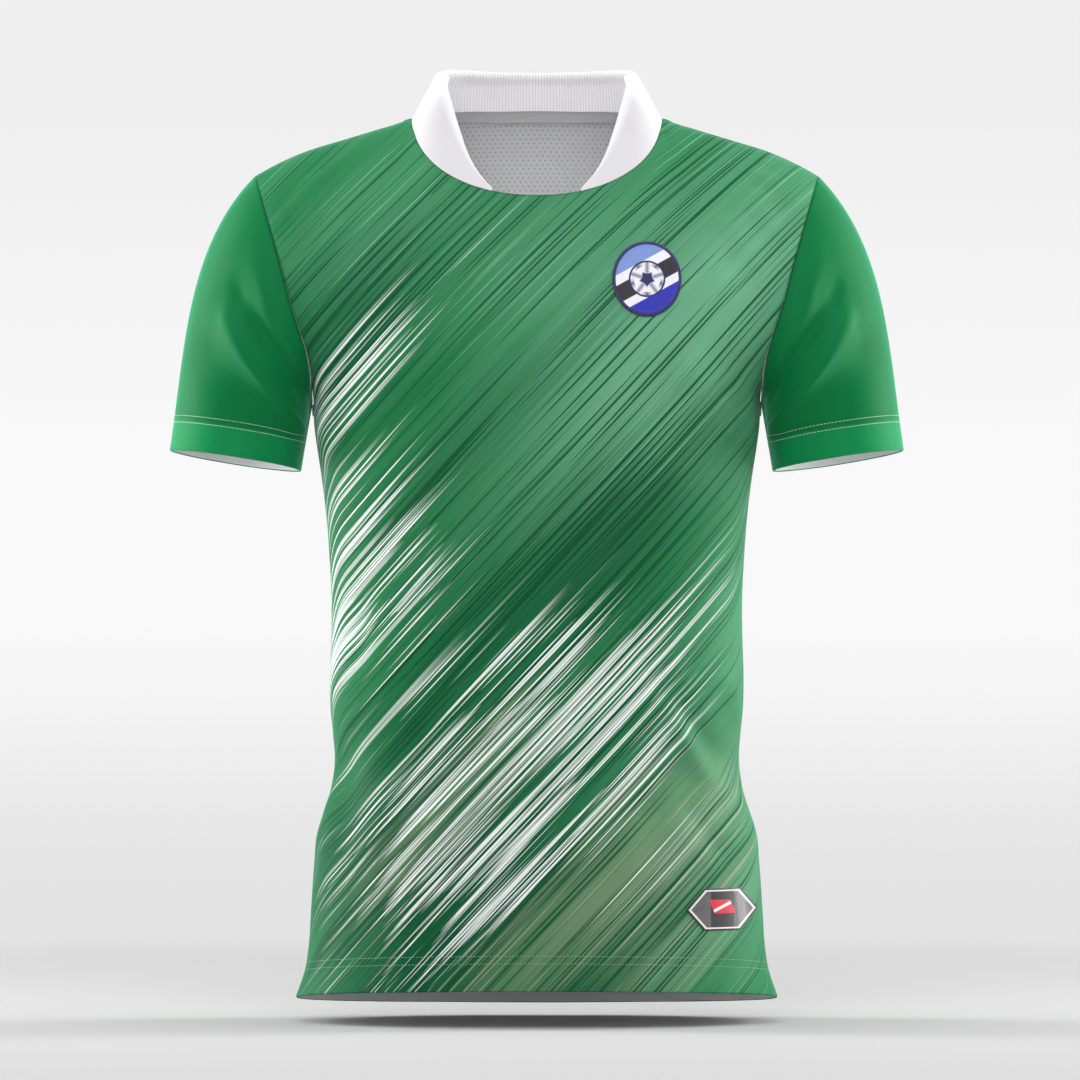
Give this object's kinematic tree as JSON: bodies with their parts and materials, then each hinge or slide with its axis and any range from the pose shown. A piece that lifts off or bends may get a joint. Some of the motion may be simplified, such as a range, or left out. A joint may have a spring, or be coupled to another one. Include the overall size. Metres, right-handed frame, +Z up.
{
  "type": "football jersey",
  "caption": "Short-sleeved football jersey in printed green knit with plain green sleeves and a white rib stand collar, in the hollow shape it has when worn.",
  "frame": {"origin": "midway between the two points where a shoulder seam meets the collar, where the wearer's shoulders and neck hold the jersey up", "axes": "+Z up from hem to collar, front towards -Y, wearer's left sleeve towards +X"},
  "size_m": [0.5872, 0.2365, 0.7517],
  "materials": {
    "printed_knit": "smooth polyester interlock with a green streaked print, low sheen",
    "sleeve_knit": "smooth polyester interlock dyed emerald green, soft sheen",
    "white_rib": "matt doubled rib knit",
    "grey_tape": "matt woven tape",
    "crest_weave": "woven badge in blues and white",
    "label_weave": "dark printed patch with a light border"
  },
  "bodies": {
    "root": {"front": "printed_knit", "back": "printed_knit", "sleeve_left": "sleeve_knit", "sleeve_right": "sleeve_knit", "collar": "white_rib", "neck_tape": "grey_tape", "crest_patch": "crest_weave", "hem_patch": "label_weave"}
  },
  "joints": []
}
